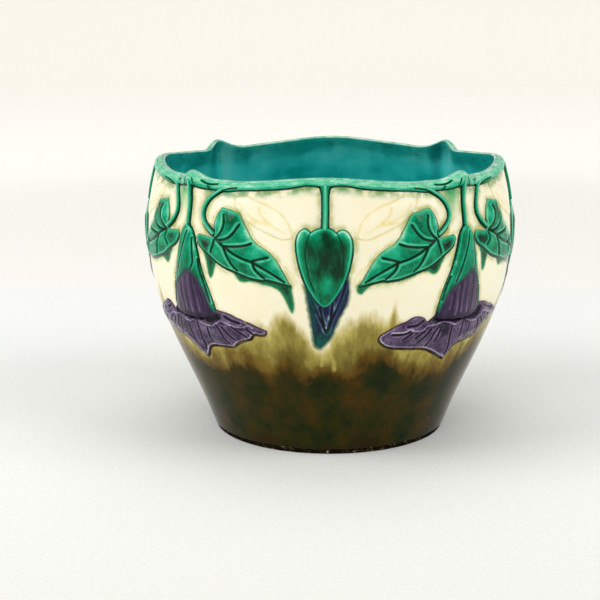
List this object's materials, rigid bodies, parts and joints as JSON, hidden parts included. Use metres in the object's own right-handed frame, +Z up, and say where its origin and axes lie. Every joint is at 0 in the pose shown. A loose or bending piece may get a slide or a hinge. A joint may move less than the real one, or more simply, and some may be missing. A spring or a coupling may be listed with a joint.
{
  "type": "jardiniere",
  "caption": "Bellied glazed jardiniere on a turned foot, with a waved, spouted rim and relief buds, trumpet flowers and leaves hanging from a branch round the rim.",
  "frame": {"origin": "centre of the underside of the foot", "axes": "+Z up along the pot's axis, -Y towards the front bud, +X to the right of someone who faces that bud"},
  "size_m": [0.308, 0.308, 0.2258],
  "materials": {
    "body_glaze": "gloss",
    "foot_glaze": "gloss",
    "green_glaze": "gloss",
    "purple_glaze": "gloss"
  },
  "bodies": {
    "root": {"bud_back": "green_glaze", "bud_front": "green_glaze", "bud_left": "green_glaze", "bud_petals_back": "purple_glaze", "bud_petals_front": "purple_glaze", "bud_petals_left": "purple_glaze", "bud_petals_right": "purple_glaze", "bud_right": "green_glaze", "bud_stems": "green_glaze", "flower_calyx_back_left": "green_glaze", "flower_calyx_back_right": "green_glaze", "flower_calyx_front_left": "green_glaze", "flower_calyx_front_right": "green_glaze", "flower_skirt_back_left": "purple_glaze", "flower_skirt_back_right": "purple_glaze", "flower_skirt_front_left": "purple_glaze", "flower_skirt_front_right": "purple_glaze", "flower_stems": "green_glaze", "flower_tube_back_left": "purple_glaze", "flower_tube_back_right": "purple_glaze", "flower_tube_front_left": "purple_glaze", "flower_tube_front_right": "purple_glaze", "foot_ring": "foot_glaze", "leaf_back_a": "green_glaze", "leaf_back_b": "green_glaze", "leaf_front_a": "green_glaze", "leaf_front_b": "green_glaze", "leaf_left_a": "green_glaze", "leaf_left_b": "green_glaze", "leaf_right_a": "green_glaze", "leaf_right_b": "green_glaze", "leaf_stalks": "green_glaze", "pale_leaves": "body_glaze", "pot_body": "body_glaze", "rim_branch": "green_glaze"}
  },
  "joints": []
}
